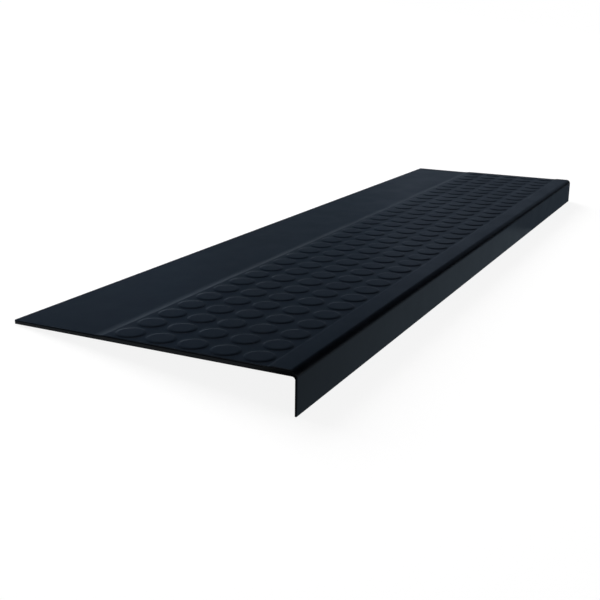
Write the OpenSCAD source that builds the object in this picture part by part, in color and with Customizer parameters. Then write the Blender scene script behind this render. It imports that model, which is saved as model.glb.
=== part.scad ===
// Rubber stair tread with a square nose and raised discs, moulded in one piece.
// The section is drawn as if laid on a stair: nose face at 0, depth to the right,
// and the tops of the discs at height 0. The finished tread is then leaned over,
// the way it lies by itself on a level floor: on the nose's lower edge and on the
// lower back edge. X runs along the tread, Y from the nose to the back, Z up.
// The origin is on the floor, in the middle of the tread's box.

/* [Tread] */
// Length, across the stair
tread_length = 1219.2; // [600:0.1:1830]
// Depth, from the front of the nose to the back edge
tread_depth = 320; // [290:0.5:370]
// Radius of the two back corners, seen from above
corner_radius = 2; // [0.5:0.5:15]

/* [Thickness] */
// Thickness of the plate between the discs
plate_thickness = 5; // [2.5:0.1:8]
// Thickness of the smooth band along the back
band_thickness = 3.9; // [1.5:0.1:4.8]
// Thickness of the nose's wall
nose_thickness = 2; // [1.5:0.1:8]

/* [Nose] */
// Height of the nose, from the tops of the discs to its lower edge
nose_drop = 43.4; // [20:0.1:70]
// Width of the smooth strip on top of the nose
strip_width = 30; // [12:0.1:60]
// Radius of the outer corner, between the strip and the nose's face
outer_radius = 7.5; // [1:0.5:10]
// Radius of the inner corner, between the plate's underside and the nose
inner_radius = 3; // [1:0.5:15]

/* [Discs] */
// Diameter of a disc
disc_diameter = 30.5; // [15:0.05:35]
// Distance between the centres of neighbouring discs, both ways
disc_pitch = 35.75; // [31:0.05:45]
// Height of the discs, and of the strip, above the plate
disc_height = 0.9; // [0.4:0.1:2]
// Width of the low sloping shoulder around a disc's top, and along the strip's back edge
shoulder_width = 3.8; // [0.5:0.1:5]
// Height of the short steep rim below the shoulder
rim_height = 0.35; // [0.1:0.05:0.35]
// How much wider a disc's rim is at its foot than at the shoulder, all round
rim_draft = 0.25; // [0:0.05:0.45]
// Rows of discs from the nose to the back
disc_rows = 5; // [1:1:7]
// Plain margin between the last row's squares and the ramp
field_margin = 1; // [0:0.1:15]
// Width of the ramp from the discs down to the smooth band
ramp_width = 8; // [1:0.5:15]

/* [Hidden] */
// The strip's top is level with the tops of the discs
strip_thickness = plate_thickness + disc_height;
ramp_top = strip_width + disc_rows * disc_pitch + field_margin;
ramp_foot = ramp_top + ramp_width;
band_level = band_thickness - strip_thickness;
shoulder_drop = disc_height - rim_height;

// As many whole columns as the length holds, with equal margins at the ends
disc_columns = floor((tread_length - disc_diameter) / disc_pitch) + 1;
first_column = -(disc_columns - 1) * disc_pitch / 2;
first_row = strip_width + disc_pitch / 2;

// Where the tread touches the floor: under the nose's wall, and under the back edge
rest_rise = nose_drop - strip_thickness;
rest_span = tread_depth - nose_thickness;
lean = atan2(rest_rise, rest_span);

// How far the leaning tread reaches in front of and behind the nose's contact line
front_reach = nose_thickness * cos(lean);
back_reach = rest_span * cos(lean) + (rest_rise + band_thickness) * sin(lean);
y_centre = (back_reach - front_reach) / 2;

// Cuts run past the faces that they open, and discs are sunk into the plate, by this much
overrun = 1;
disc_sink = 0.5;
corner_sides = 96;
disc_sides = 64;

// A block from the top left corner down and to the right, with that corner rounded
module rounded_block(width, height, radius) {
    translate([radius, -height]) square([width - radius, height]);
    translate([0, -height]) square([width, height - radius]);
    translate([radius, -radius]) circle(r = radius, $fn = corner_sides);
}

// All that is open above the strip's shoulder, the discs' field, the ramp and the back band
module top_relief() {
    polygon([
        [strip_width - shoulder_width, 0],
        [strip_width, -shoulder_drop],
        [strip_width, -disc_height],
        [ramp_top, -disc_height],
        [ramp_foot, band_level],
        [tread_depth + overrun, band_level],
        [tread_depth + overrun, overrun],
        [strip_width - shoulder_width, overrun]
    ]);
}

// The section without discs: nose, strip, plate, ramp and back band
module section() {
    difference() {
        rounded_block(tread_depth, nose_drop, outer_radius);
        translate([nose_thickness, -strip_thickness])
            rounded_block(tread_depth, nose_drop, inner_radius);
        top_relief();
    }
}

// The section run along the tread
module moulded_strip() {
    rotate([90, 0, 90])
        linear_extrude(tread_length, center = true)
            section();
}

// The tread's outline from above, with the back corners rounded
module plan_outline() {
    half = tread_length / 2;
    corner_x = half - corner_radius;
    corner_y = tread_depth - corner_radius;
    translate([-half, 0]) square([tread_length, corner_y]);
    translate([-corner_x, 0]) square([2 * corner_x, tread_depth]);
    for (side = [-1, 1])
        translate([side * corner_x, corner_y])
            circle(r = corner_radius, $fn = corner_sides);
}

// One disc, with its shoulder and rim around its flat top, which is at height 0
module disc() {
    radius = disc_diameter / 2;
    rotate_extrude($fn = disc_sides)
        polygon([
            [0, -disc_height - disc_sink],
            [radius, -disc_height - disc_sink],
            [radius, -disc_height],
            [radius - rim_draft, -shoulder_drop],
            [radius - shoulder_width, 0],
            [0, 0]
        ]);
}

// The discs, on a square grid
module discs() {
    for (column = [0 : disc_columns - 1], row = [0 : disc_rows - 1])
        translate([first_column + column * disc_pitch, first_row + row * disc_pitch, 0])
            disc();
}

// The tread as it would lie on a stair, with its nose face at Y = 0
module laid_tread() {
    intersection() {
        moulded_strip();
        translate([0, 0, -nose_drop - overrun])
            linear_extrude(nose_drop + 2 * overrun)
                plan_outline();
    }
    discs();
}

// The whole tread, leaned over about the contact line under its nose
module tread() {
    color("#20272d")
        translate([0, -y_centre, 0])
            rotate([-lean, 0, 0])
                translate([0, -nose_thickness, nose_drop])
                    laid_tread();
}

tread();
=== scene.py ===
import math

import bmesh
import bpy
from mathutils import Matrix, Vector


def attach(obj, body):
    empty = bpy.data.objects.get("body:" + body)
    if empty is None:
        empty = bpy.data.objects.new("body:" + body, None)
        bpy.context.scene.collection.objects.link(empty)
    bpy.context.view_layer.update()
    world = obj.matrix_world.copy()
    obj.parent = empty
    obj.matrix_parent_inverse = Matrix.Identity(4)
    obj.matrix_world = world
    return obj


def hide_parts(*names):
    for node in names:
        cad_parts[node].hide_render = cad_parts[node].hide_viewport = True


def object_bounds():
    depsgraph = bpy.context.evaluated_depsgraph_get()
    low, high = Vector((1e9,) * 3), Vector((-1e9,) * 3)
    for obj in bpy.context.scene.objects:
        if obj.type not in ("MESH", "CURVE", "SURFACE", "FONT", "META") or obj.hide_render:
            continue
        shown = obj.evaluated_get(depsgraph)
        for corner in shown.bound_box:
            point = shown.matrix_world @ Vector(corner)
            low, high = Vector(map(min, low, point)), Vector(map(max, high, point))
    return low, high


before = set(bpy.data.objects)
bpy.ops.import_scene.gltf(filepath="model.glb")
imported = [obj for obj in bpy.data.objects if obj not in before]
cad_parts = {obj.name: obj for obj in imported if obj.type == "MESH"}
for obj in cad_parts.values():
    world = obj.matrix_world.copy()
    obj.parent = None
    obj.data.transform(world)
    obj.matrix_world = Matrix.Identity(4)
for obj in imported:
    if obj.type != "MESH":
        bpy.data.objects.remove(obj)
cad_low, cad_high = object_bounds()


# Field of discs
# The tread is one sheet of black rubber, pressed and cured in a heated steel mould.
# Round pockets in the mould form the discs, 34 columns of 5. Each is flat on top, with a broad
# low shoulder sloping to a short steep rim, so that the rubber leaves its pocket cleanly.
MM = 0.001
tread_length = cad_high.x - cad_low.x
disc_rows = 5
disc_columns = 34
disc_pitch = 35.75 * MM
disc_radius = 30.5 / 2 * MM
disc_height = 0.9 * MM
shoulder_width = 3.8 * MM
rim_height = 0.35 * MM
rim_draft = 0.25 * MM
shoulder_drop = disc_height - rim_height
disc_sides = 24
strip_width = 30 * MM
field_margin = 1 * MM
end_margin = (tread_length - disc_columns * disc_pitch) / 2
field_back = strip_width + disc_rows * disc_pitch
# Points that are nearer to each other than this are one
same_place = 0.01 * MM


def new_points(made):
    """The points among the geometry that an operator made."""
    return [part for part in made["geom"] if isinstance(part, bmesh.types.BMVert)]


def new_run(made):
    """The outer edges of a strip of faces that an extrusion made."""
    points = set(new_points(made))
    edges = [part for part in made["geom"] if isinstance(part, bmesh.types.BMEdge)]
    return [edge for edge in edges if points.issuperset(edge.verts)]


def make_cell(mesh):
    """One square of the plate with its disc: the flat top, shoulder and rim, then the corners."""
    rings = [
        (disc_radius - shoulder_width, 0),
        (disc_radius - rim_draft, -shoulder_drop),
        (disc_radius, -disc_height),
    ]
    radius, level = rings[0]
    bmesh.ops.create_circle(mesh, cap_ends=True, segments=disc_sides, radius=radius)
    run = mesh.edges[:]
    for next_radius, next_level in rings[1:]:
        made = bmesh.ops.extrude_edge_only(mesh, edges=run)
        run = new_run(made)
        growth = next_radius / radius
        bmesh.ops.scale(mesh, verts=new_points(made), vec=(growth, growth, 1))
        bmesh.ops.translate(mesh, verts=new_points(made), vec=(0, 0, next_level - level))
        radius, level = next_radius, next_level
    made = bmesh.ops.extrude_edge_only(mesh, edges=run)
    for point in new_points(made):
        growth = disc_pitch / 2 / max(abs(point.co.x), abs(point.co.y))
        point.co.xy *= growth


def repeat(mesh, count, step):
    """Copies everything in the mesh until there are count of it, each a step further on."""
    first = mesh.verts[:] + mesh.edges[:] + mesh.faces[:]
    for number in range(1, count):
        made = bmesh.ops.duplicate(mesh, geom=first)
        bmesh.ops.translate(mesh, verts=new_points(made), vec=Vector(step) * number)


def edges_at(mesh, **place):
    """The edges that lie at a place, such as x=1 or y=2, z=3."""
    axes = {"x": 0, "y": 1, "z": 2}

    def lies_there(point):
        return all(abs(point.co[axes[name]] - value) < same_place for name, value in place.items())

    return [edge for edge in mesh.edges if all(lies_there(point) for point in edge.verts)]


def straighten(mesh, run):
    """Dissolves the points between the two ends of a straight run of edges."""
    points = {point for edge in run for point in edge.verts}
    inner = [point for point in points if len([e for e in point.link_edges if e in run]) == 2]
    bmesh.ops.dissolve_verts(mesh, verts=inner)


sheet = bmesh.new()
make_cell(sheet)
first_column = -(disc_columns - 1) / 2 * disc_pitch
bmesh.ops.translate(sheet, verts=sheet.verts, vec=(first_column, strip_width + disc_pitch / 2, 0))
repeat(sheet, disc_rows, (0, disc_pitch, 0))
repeat(sheet, disc_columns, (disc_pitch, 0, 0))
bmesh.ops.remove_doubles(sheet, verts=sheet.verts, dist=same_place)
for side in (-1, 1):
    edge_run = edges_at(sheet, x=side * disc_columns * disc_pitch / 2)
    margin = bmesh.ops.extrude_edge_only(sheet, edges=edge_run)
    bmesh.ops.translate(sheet, verts=new_points(margin), vec=(side * end_margin, 0, 0))


# Nose, strip and back band
# The rest of the same moulding. A smooth strip level with the discs runs into the square nose,
# which hooks over the step's edge. Behind the discs a narrow ramp drops to a thin smooth band.
tread_depth = 320 * MM
plate_thickness = 5 * MM
band_thickness = 3.9 * MM
nose_thickness = 2 * MM
nose_drop = 43.4 * MM
ramp_width = 8 * MM
corner_radius = 2 * MM
strip_thickness = plate_thickness + disc_height
ramp_top = field_back + field_margin
band_level = band_thickness - strip_thickness


def carry(mesh, run, y, z):
    """Draws a run of long edges on to a new place in the section, and returns it there."""
    made = bmesh.ops.extrude_edge_only(mesh, edges=run)
    for point in new_points(made):
        point.co.y, point.co.z = y, z
    return new_run(made)


def round_off(mesh, edges, reach, steps):
    """Rounds edges, from this far on either side of each, which is the radius of a square one."""
    bmesh.ops.bevel(
        mesh, geom=edges, offset=reach, offset_type="OFFSET", segments=steps, profile=0.5,
        affect="EDGES", material=-1, clamp_overlap=False, loop_slide=True,
    )


# From the field's front edge up to the strip's shoulder, and from its back edge to the ramp
field_front_edges = edges_at(sheet, y=strip_width, z=-disc_height)
front_run = carry(sheet, field_front_edges, strip_width, -shoulder_drop)
straighten(sheet, front_run)
field_back_edges = edges_at(sheet, y=field_back, z=-disc_height)
back_run = carry(sheet, field_back_edges, ramp_top, -disc_height)
straighten(sheet, back_run)

# Once around the section, from the strip's shoulder over the nose to the ramp's upper edge
section = [
    (strip_width - shoulder_width, 0),
    (0, 0),
    (0, -nose_drop),
    (nose_thickness, -nose_drop),
    (nose_thickness, -strip_thickness),
    (tread_depth, -strip_thickness),
    (tread_depth, band_level),
    (ramp_top + ramp_width, band_level),
    (ramp_top, -disc_height),
]
long_run = edges_at(sheet, y=strip_width, z=-shoulder_drop)
for y, z in section:
    long_run = carry(sheet, long_run, y, z)
bmesh.ops.remove_doubles(sheet, verts=sheet.verts, dist=same_place)

# Each long edge of the section, with how far its rounding reaches and in how many steps. The
# ramp's upper one keeps within the plain margin beside it, and its lower one is broad and soft.
for y, z, reach, steps in (
    (strip_width, -disc_height, 0.15 * MM, 2),
    (strip_width, -shoulder_drop, 0.15 * MM, 2),
    (0, 0, 7.5 * MM, 12),
    (0, -nose_drop, 0.5 * MM, 3),
    (nose_thickness, -nose_drop, 0.4 * MM, 3),
    (nose_thickness, -strip_thickness, 3 * MM, 8),
    (ramp_top + ramp_width, band_level, 4.5 * MM, 4),
    (ramp_top, -disc_height, 0.5 * MM, 2),
):
    round_off(sheet, edges_at(sheet, y=y, z=z), reach, steps)

# Flat ends, and blunt back corners
bmesh.ops.holes_fill(sheet, edges=[edge for edge in sheet.edges if edge.is_boundary])
bmesh.ops.recalc_face_normals(sheet, faces=sheet.faces)
for side in (-1, 1):
    corner = edges_at(sheet, x=side * tread_length / 2, y=tread_depth)
    round_off(sheet, corner, corner_radius, 5)

# The ends' outer edges, whose other face looks up or forward, are rounded over. The very short
# ones beside the strip's step stay sharp, as a rounding would fold them over.
end_rounding = 1.6 * MM
shortest_rounded = 0.4 * MM
least_outward = 0.1
outer_edges = []
for side in (-1, 1):
    for edge in edges_at(sheet, x=side * tread_length / 2):
        end_normal = Vector((side, 0, 0))
        other_normal = sum((face.normal for face in edge.link_faces), -end_normal)
        outward = other_normal.z - other_normal.y
        if edge.calc_length() > shortest_rounded and outward > least_outward:
            outer_edges.append(edge)
round_off(sheet, outer_edges, end_rounding, 5)

# The other sharp edges lose only their arris
arris = 0.2 * MM
sharp = math.radians(60)
long_edges = [edge for edge in sheet.edges if edge.calc_length() > shortest_rounded]
round_off(sheet, [edge for edge in long_edges if edge.calc_face_angle() > sharp], arris, 2)

# The tread lies by itself on the floor: on the nose's lower edge and on the lower back edge
lean = math.atan2(nose_drop - strip_thickness, tread_depth - nose_thickness)
onto_the_nose = Matrix.Translation((0, -nose_thickness, nose_drop))
leaning = Matrix.Rotation(-lean, 4, "X") @ onto_the_nose
bmesh.ops.transform(sheet, matrix=leaning, verts=sheet.verts)
front = nose_thickness * math.cos(lean)
bmesh.ops.translate(sheet, verts=sheet.verts, vec=(0, cad_low.y + front, cad_low.z))
bmesh.ops.recalc_face_normals(sheet, faces=sheet.faces)
for face in sheet.faces:
    face.smooth = True
tread_mesh = bpy.data.meshes.new("moulded_tread")
sheet.to_mesh(tread_mesh)
sheet.free()
tread = bpy.data.objects.new("moulded_tread", tread_mesh)
bpy.context.scene.collection.objects.link(tread)
flatten = tread.modifiers.new("keep flats flat", "WEIGHTED_NORMAL")
flatten.mode = "FACE_AREA"
flatten.weight = 50
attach(tread, "root")
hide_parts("tread")


# Moulded rubber
# Black styrene-butadiene rubber as it leaves a blasted steel mould: a dull satin skin with a fine
# grain. It looks nearly black face on, and greyer where light from behind skims along it.
def linear(hex_colour):
    """A colour written as sRGB hex, as the linear values that the shaders use."""
    shares = [int(hex_colour[at:at + 2], 16) / 255 for at in (1, 3, 5)]
    parts = [s / 12.92 if s <= 0.04045 else ((s + 0.055) / 1.055) ** 2.4 for s in shares]
    return parts + [1]


def add_node(tree, kind, links=(), **settings):
    """Adds a node, sets its properties and inputs, and links (output, input name) pairs into it."""
    node = tree.nodes.new(kind)
    for name, value in settings.items():
        if name in node.inputs.keys():
            node.inputs[name].default_value = value
        else:
            setattr(node, name, value)
    for output, name in links:
        tree.links.new(output, node.inputs[name])
    return node


def moulded_rubber():
    material = bpy.data.materials.new("moulded black rubber")
    material.use_nodes = True
    tree = material.node_tree
    tree.nodes.clear()
    place = add_node(tree, "ShaderNodeTexCoord").outputs["Object"]
    # Blasted mould skin, drawn as grains of 1 mm where the real ones are half that, so that they
    # show, and slow swells in the sheet, some 5 cm across
    grain = add_node(tree, "ShaderNodeTexNoise", [(place, "Vector")], Scale=900.0, Detail=2.0)
    swell = add_node(tree, "ShaderNodeTexNoise", [(place, "Vector")], Scale=22.0, Detail=3.0)
    # Bloom, the faint cloudy haze of new rubber: patches some 4 cm across, paler and duller
    cloud = add_node(tree, "ShaderNodeTexNoise", [(place, "Vector")], Scale=25.0, Detail=6.0)
    tint = add_node(tree, "ShaderNodeValToRGB", [(cloud.outputs["Fac"], "Fac")])
    clear, hazy = tint.color_ramp.elements
    clear.position, clear.color = 0.35, linear("#04070c")
    hazy.position, hazy.color = 0.65, linear("#070a10")
    dullness = add_node(
        tree, "ShaderNodeMapRange", [(cloud.outputs["Fac"], "Value")],
        **{"From Min": 0.35, "From Max": 0.65, "To Min": 0.28, "To Max": 0.32},
    )
    skin = add_node(
        tree, "ShaderNodeBump", [(grain.outputs["Fac"], "Height")], Strength=0.35, Distance=0.00004
    )
    surface = add_node(
        tree, "ShaderNodeBump",
        [(swell.outputs["Fac"], "Height"), (skin.outputs["Normal"], "Normal")],
        Strength=0.3, Distance=0.0004,
    )
    rubber = add_node(
        tree, "ShaderNodeBsdfPrincipled",
        [
            (tint.outputs["Color"], "Base Color"),
            (dullness.outputs["Result"], "Roughness"),
            (surface.outputs["Normal"], "Normal"),
        ],
        IOR=1.52,
    )
    rubber.inputs["Specular IOR Level"].default_value = 0.2
    add_node(tree, "ShaderNodeOutputMaterial", [(rubber.outputs["BSDF"], "Surface")])
    return material


tread_mesh.materials.append(moulded_rubber())


# Floor and background
# A floor of matt paper that runs out into a white background, as in a studio. It glows just
# enough to look white in the picture, and still keeps the tread's soft shadow.
def background_rays(tree):
    """One for the rays that see the background, from the camera, in gloss or through glass."""
    path = add_node(tree, "ShaderNodeLightPath")
    seen = add_node(tree, "ShaderNodeMath", operation="MAXIMUM")
    tree.links.new(path.outputs["Is Camera Ray"], seen.inputs[0])
    tree.links.new(path.outputs["Is Glossy Ray"], seen.inputs[1])
    either = add_node(tree, "ShaderNodeMath", operation="MAXIMUM")
    tree.links.new(seen.outputs[0], either.inputs[0])
    tree.links.new(path.outputs["Is Transmission Ray"], either.inputs[1])
    return either.outputs[0]


half_floor = 15
floor_mesh = bpy.data.meshes.new("floor")
plane = bmesh.new()
bmesh.ops.create_grid(plane, x_segments=1, y_segments=1, size=half_floor)
bmesh.ops.translate(plane, verts=plane.verts, vec=(0, 0, cad_low.z))
plane.to_mesh(floor_mesh)
plane.free()
floor = bpy.data.objects.new("floor", floor_mesh)
bpy.context.scene.collection.objects.link(floor)
paper = bpy.data.materials.new("white background paper")
paper.use_nodes = True
paper_tree = paper.node_tree
paper_tree.nodes.clear()
matt = add_node(paper_tree, "ShaderNodeBsdfDiffuse", Color=linear("#787878"))
# A little dimmer around the tread, so that its shadow shows
floor_place = add_node(paper_tree, "ShaderNodeTexCoord").outputs["Object"]
distance = add_node(paper_tree, "ShaderNodeVectorMath", operation="LENGTH")
paper_tree.links.new(floor_place, distance.inputs[0])
lift = add_node(
    paper_tree, "ShaderNodeMapRange", [(distance.outputs["Value"], "Value")],
    **{"From Min": 1.0, "From Max": 3.5, "To Min": 0.88, "To Max": 1.0},
)
glow_share = add_node(paper_tree, "ShaderNodeMath", operation="MULTIPLY")
paper_tree.links.new(background_rays(paper_tree), glow_share.inputs[0])
paper_tree.links.new(lift.outputs["Result"], glow_share.inputs[1])
glow = add_node(paper_tree, "ShaderNodeEmission", [(glow_share.outputs[0], "Strength")])
both = add_node(paper_tree, "ShaderNodeAddShader")
paper_tree.links.new(matt.outputs[0], both.inputs[0])
paper_tree.links.new(glow.outputs[0], both.inputs[1])
add_node(paper_tree, "ShaderNodeOutputMaterial", [(both.outputs[0], "Surface")])
floor_mesh.materials.append(paper)

world = bpy.data.worlds.new("studio")
world.use_nodes = True
bpy.context.scene.world = world
world_tree = world.node_tree
world_tree.nodes.clear()
fill = add_node(world_tree, "ShaderNodeBackground", Color=linear("#ffffff"), Strength=0.12)
white = add_node(world_tree, "ShaderNodeBackground", Color=linear("#ffffff"), Strength=1.0)
choose = add_node(world_tree, "ShaderNodeMixShader", [(background_rays(world_tree), "Fac")])
world_tree.links.new(fill.outputs[0], choose.inputs[1])
world_tree.links.new(white.outputs[0], choose.inputs[2])
add_node(world_tree, "ShaderNodeOutputWorld", [(choose.outputs[0], "Surface")])


# Lights
# A broad soft panel above and behind the tread, which skims its top, and a weak one in front for
# the nose. Grey cards and black flags around the set are what the satin rubber mirrors. The flags
# keep the nose's corner, the front rims of the discs and the ends' rounded edges black.
def add_panel(name, place, width, height, power):
    """A soft lamp at a place, aimed at the tread. The gloss doesn't mirror it."""
    lamp = bpy.data.lights.new(name, "AREA")
    lamp.shape = "RECTANGLE"
    lamp.size, lamp.size_y = width, height
    lamp.energy = power
    panel = bpy.data.objects.new(name, lamp)
    panel.location = place
    panel.visible_glossy = False
    panel.rotation_euler = (-Vector(place)).to_track_quat("-Z", "Y").to_euler()
    bpy.context.scene.collection.objects.link(panel)


add_panel("back panel", (0.8, 2.6, 1.7), width=4.0, height=2.0, power=180)
add_panel("front fill", (0.6, -2.6, 0.5), width=2.5, height=1.0, power=15)


def card_board(name, tone):
    """Board of one even tone for cards, which looks the same from wherever it is mirrored."""
    board = bpy.data.materials.new(name)
    board.use_nodes = True
    board.node_tree.nodes.clear()
    face = add_node(board.node_tree, "ShaderNodeEmission", Color=linear(tone))
    add_node(board.node_tree, "ShaderNodeOutputMaterial", [(face.outputs[0], "Surface")])
    return board


def add_card(name, board, x, y, z):
    """A card seen only in gloss. Two of x, y and z say from where to where it reaches."""
    low, high = zip(*(way if isinstance(way, tuple) else (way, way) for way in (x, y, z)))
    card_mesh = bpy.data.meshes.new(name)
    shape = bmesh.new()
    if low[2] == high[2]:
        corners = [low, (high[0], low[1], low[2]), high, (low[0], high[1], high[2])]
    else:
        corners = [low, (high[0], high[1], low[2]), high, (low[0], low[1], high[2])]
    shape.faces.new([shape.verts.new(corner) for corner in corners])
    shape.to_mesh(card_mesh)
    shape.free()
    card_mesh.materials.append(board)
    card = bpy.data.objects.new(name, card_mesh)
    card.visible_camera = False
    card.visible_diffuse = False
    card.visible_shadow = False
    bpy.context.scene.collection.objects.link(card)


# Black for the flags, and greys and blues for the cards
black_board = card_board("black board", "#000000")
slate_board = card_board("slate board", "#48586b")
dusk_blue_board = card_board("dusk blue board", "#303c48")
blue_grey_board = card_board("blue grey board", "#4f5e70")
dusk_grey_board = card_board("dusk grey board", "#4f5b68")
pewter_board = card_board("pewter board", "#4b5461")
cool_grey_board = card_board("cool grey board", "#667384")
dark_grey_board = card_board("dark grey board", "#6a7782")
pale_grey_board = card_board("pale grey board", "#b0b8be")
pale_blue_board = card_board("pale blue board", "#e0f0ff")

# Where the set's walls are, and the heights of what lies, stands and hangs in it
near_wall, front_far, far_wall = -6, 6, 12
front_wall, back_wall = -6, 5
floor_level, wall_foot, wall_top = 0.0005, 0.02, 6
flag_level, card_level = 2.4, 2.45

# Overhead: one pale card, and flags below it. They leave it open above the back of the tread's
# near half, and far out in front.
flags_near, flags_far = -1.3, 0.6
flags_front, flags_split = -3.2, 0.5
over_far, over_back = 8, 2.2
add_card(
    "overhead card", pale_grey_board,
    x=(near_wall, over_far), y=(front_wall, over_back), z=card_level,
)
add_card(
    "overhead flag", black_board,
    x=(flags_far, over_far), y=(front_wall, over_back), z=flag_level,
)
add_card("front flag", black_board, x=(flags_near, flags_far), y=(flags_front, 0), z=flag_level)
add_card(
    "camera flag", black_board,
    x=(-4.5, flags_near), y=(flags_front, flags_split), z=flag_level,
)
add_card(
    "near end flag", black_board,
    x=(near_wall, flags_near), y=(flags_split, back_wall), z=flag_level,
)

# Upright beyond the near end and in front
near_split = 0.8
side_height = (wall_foot, flag_level)
add_card("near end wall flag", black_board, x=near_wall, y=(near_split, back_wall), z=side_height)
add_card("near end card", dark_grey_board, x=near_wall, y=(front_wall, near_split), z=side_height)
add_card("front card", dark_grey_board, x=(near_wall, 4), y=front_wall, z=side_height)
add_card("far end flag", black_board, x=front_far, y=(front_wall, -1), z=side_height)

# On the floor, up to the tread's edges. Beside the near end, black lies in front of pale.
near_end = cad_low.x
nose_foot, back_edge = cad_low.y, cad_high.y
black_back = -0.09
front_split = 0.3
add_card(
    "near floor flag", black_board,
    x=(near_wall, near_end), y=(front_wall, black_back), z=floor_level,
)
add_card(
    "near floor card", pale_grey_board,
    x=(near_wall, near_end), y=(black_back, back_edge), z=floor_level,
)
add_card(
    "front floor card", dark_grey_board,
    x=(near_end, front_split), y=(front_wall, nose_foot), z=floor_level,
)
add_card(
    "far floor card", dusk_grey_board,
    x=(front_split, front_far), y=(front_wall, nose_foot), z=floor_level,
)
add_card(
    "back floor card", pale_blue_board,
    x=(near_wall, far_wall), y=(back_edge, back_wall), z=floor_level,
)

# Upright behind the tread and beyond its far end. The far ones are darker low down.
back_split = 7
low_top = 1.8
far_width = (-2.2, back_wall)
low_part, high_part = (wall_foot, low_top), (low_top, wall_top)
add_card("back card", slate_board, x=(near_wall, back_split), y=back_wall, z=(wall_foot, wall_top))
add_card("low far back card", dusk_blue_board, x=(back_split, far_wall), y=back_wall, z=low_part)
add_card("far back card", blue_grey_board, x=(back_split, far_wall), y=back_wall, z=high_part)
add_card("low far card", pewter_board, x=far_wall, y=far_width, z=low_part)
add_card("far card", cool_grey_board, x=far_wall, y=far_width, z=high_part)


# Camera
# Low and close beyond the near end, looking along the tread, as the photograph was taken. Its
# place, turn and lens are those at which the tread's outline and discs best meet the photograph's.
lens = bpy.data.cameras.new("camera")
lens.sensor_width = 36
lens.lens = 55.55
lens.shift_x = -0.05
lens.clip_end = 100
camera = bpy.data.objects.new("camera", lens)
camera.location = (-1.2839, -0.4586, 0.3698)
camera.rotation_euler = [math.radians(turn) for turn in (70.637, -7.248, -64.862)]
bpy.context.scene.collection.objects.link(camera)
bpy.context.scene.camera = camera
bpy.context.scene.view_settings.view_transform = "Standard"
